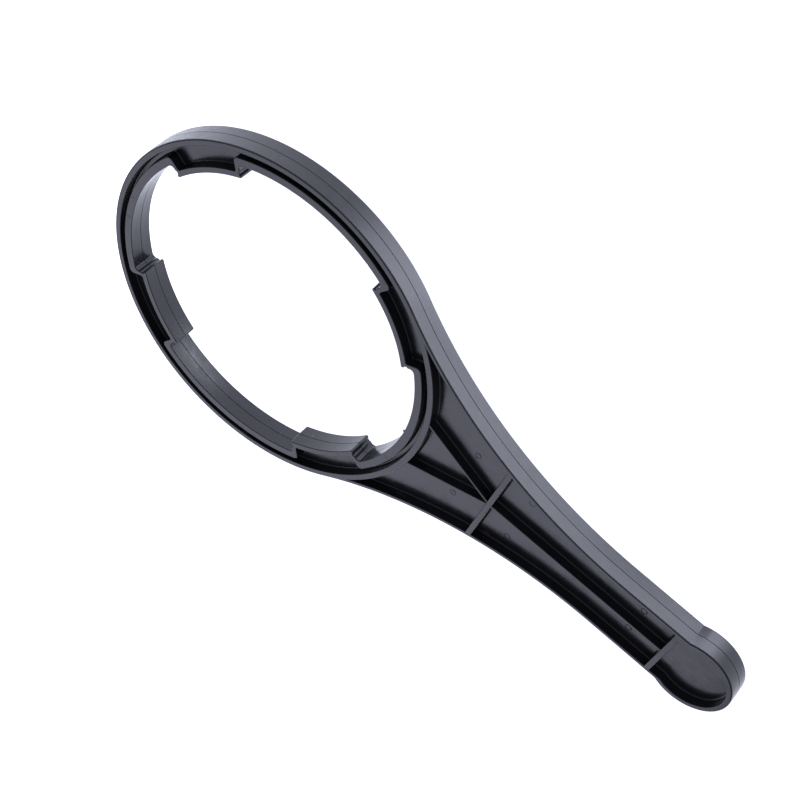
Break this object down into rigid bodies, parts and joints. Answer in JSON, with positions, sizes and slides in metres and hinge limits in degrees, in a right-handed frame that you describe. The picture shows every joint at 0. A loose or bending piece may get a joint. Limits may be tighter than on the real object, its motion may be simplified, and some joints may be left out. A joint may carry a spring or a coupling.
{
  "type": "filter housing wrench",
  "caption": "Flat moulded ring wrench for a water filter housing: ribbed ring with drive lugs inside and a flared, ribbed handle with a round end.",
  "frame": {"origin": "centre of the ring, in the plane of its back rim, which the wrench lies on", "axes": "+X along the handle to its round end, +Z through the ring and out of the front rim, +Y to the left of the handle"},
  "size_m": [0.2551, 0.13, 0.0093],
  "materials": {
    "black_plastic": "satin black injection moulding, with a parting line at mid-thickness"
  },
  "bodies": {
    "root": {"centre_rib": "black_plastic", "channel_web_1": "black_plastic", "channel_web_2": "black_plastic", "channel_web_3": "black_plastic", "channel_web_4": "black_plastic", "drive_lug_1": "black_plastic", "drive_lug_2": "black_plastic", "drive_lug_3": "black_plastic", "drive_lug_4": "black_plastic", "flare_wall_left": "black_plastic", "flare_wall_right": "black_plastic", "front_cross_rib": "black_plastic", "grip_wall_left": "black_plastic", "grip_wall_right": "black_plastic", "grip_web_left": "black_plastic", "grip_web_right": "black_plastic", "lug_web_1": "black_plastic", "lug_web_2": "black_plastic", "lug_web_3": "black_plastic", "lug_web_4": "black_plastic", "neck_web_left": "black_plastic", "neck_web_right": "black_plastic", "paddle_wall": "black_plastic", "paddle_web": "black_plastic", "rear_cross_rib": "black_plastic", "ring_outer_wall": "black_plastic", "ring_partition_wall": "black_plastic", "root_web_centre": "black_plastic", "root_web_left": "black_plastic", "root_web_right": "black_plastic", "socket_wall_1": "black_plastic", "socket_wall_2": "black_plastic", "socket_wall_3": "black_plastic", "socket_wall_4": "black_plastic", "vee_rib_left": "black_plastic", "vee_rib_right": "black_plastic"}
  },
  "joints": []
}
